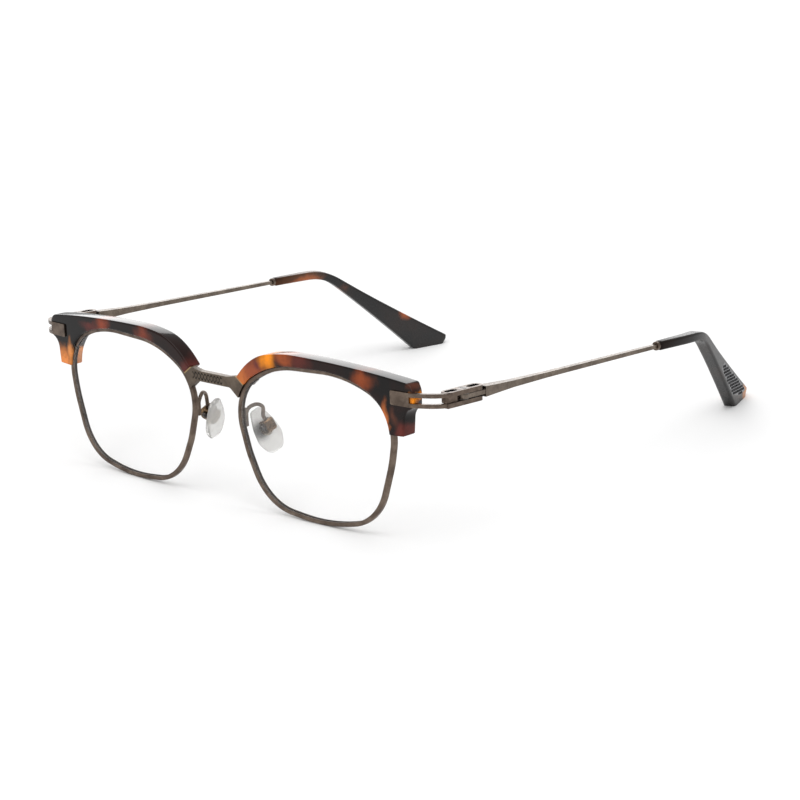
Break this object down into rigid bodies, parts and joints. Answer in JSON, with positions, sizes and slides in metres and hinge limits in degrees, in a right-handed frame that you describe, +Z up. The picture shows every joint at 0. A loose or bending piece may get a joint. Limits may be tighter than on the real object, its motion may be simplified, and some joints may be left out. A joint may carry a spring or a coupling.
{
  "type": "half rim eyeglasses",
  "caption": "Browline eyeglasses: acetate brows over metal eyewires, clear lenses, folding temples with acetate tips and rocking nose pads.",
  "frame": {"origin": "middle of the bounding box, on the table that the open glasses stand on", "axes": "+X towards the wearer's left, the front faces -Y and the temples run back along +Y, +Z up"},
  "size_m": [0.1488, 0.1466, 0.0424],
  "materials": {
    "bronze_metal": "antique bronze plating, satin",
    "tortoise_acetate": "polished tortoiseshell acetate",
    "dark_acetate": "dark tortoiseshell acetate, satin",
    "grip_rubber": "fine raised squares",
    "clear_lens": "clear, anti-reflection coated",
    "clear_silicone": "clear soft silicone",
    "bright_metal": "plain",
    "dark_screw": "dark plated",
    "nylon": "plain"
  },
  "bodies": {
    "front": {"bridge": "bronze_metal", "rim_left": "bronze_metal", "rim_right": "bronze_metal", "lens_left": "clear_lens", "lens_right": "clear_lens", "brow_left": "tortoise_acetate", "brow_right": "tortoise_acetate", "end_piece_left": "bronze_metal", "end_piece_right": "bronze_metal", "nose_clip_left": "bronze_metal", "nose_clip_right": "bronze_metal", "rim_lock_upper_left": "bronze_metal", "rim_lock_upper_right": "bronze_metal", "rim_lock_lower_left": "bronze_metal", "rim_lock_lower_right": "bronze_metal", "rim_lock_screw_left": "dark_screw", "rim_lock_screw_right": "dark_screw", "brow_screws_left": "dark_screw", "brow_screws_right": "dark_screw", "hinge_screw_left": "dark_screw", "hinge_screw_right": "dark_screw", "pad_arm_left": "bronze_metal", "pad_arm_right": "bronze_metal", "pad_box_left": "bronze_metal", "pad_box_right": "bronze_metal", "pad_screw_left": "dark_screw", "pad_screw_right": "dark_screw"},
    "left_temple": {"temple_left": "bronze_metal", "tip_collar_left": "bronze_metal", "temple_tip_left": "dark_acetate", "tip_grip_left": "grip_rubber", "hinge_washers_left": "nylon"},
    "right_temple": {"temple_right": "bronze_metal", "tip_collar_right": "bronze_metal", "temple_tip_right": "dark_acetate", "tip_grip_right": "grip_rubber", "hinge_washers_right": "nylon"},
    "left_nose_pad": {"nose_pad_left": "clear_silicone", "pad_insert_left": "bright_metal"},
    "right_nose_pad": {"nose_pad_right": "clear_silicone", "pad_insert_right": "bright_metal"}
  },
  "joints": [
    {"name": "left_temple_fold", "type": "hinge", "parent": "front", "child": "left_temple", "pos_m": [0.0728, -0.05787, 0.0352], "axis": [0, 0.0732, 0.9973], "range_deg": [0, 86]},
    {"name": "right_temple_fold", "type": "hinge", "parent": "front", "child": "right_temple", "pos_m": [-0.0728, -0.05787, 0.0352], "axis": [0, -0.0732, -0.9973], "range_deg": [0, 81]},
    {"name": "left_pad_rock", "type": "hinge", "parent": "front", "child": "left_nose_pad", "pos_m": [0.0114, -0.06557, 0.01995], "axis": [0.114, 0.9505, 0.2892], "range_deg": [-8, 8]},
    {"name": "right_pad_rock", "type": "hinge", "parent": "front", "child": "right_nose_pad", "pos_m": [-0.0114, -0.06557, 0.01995], "axis": [-0.114, 0.9505, 0.2892], "range_deg": [-8, 8]}
  ]
}
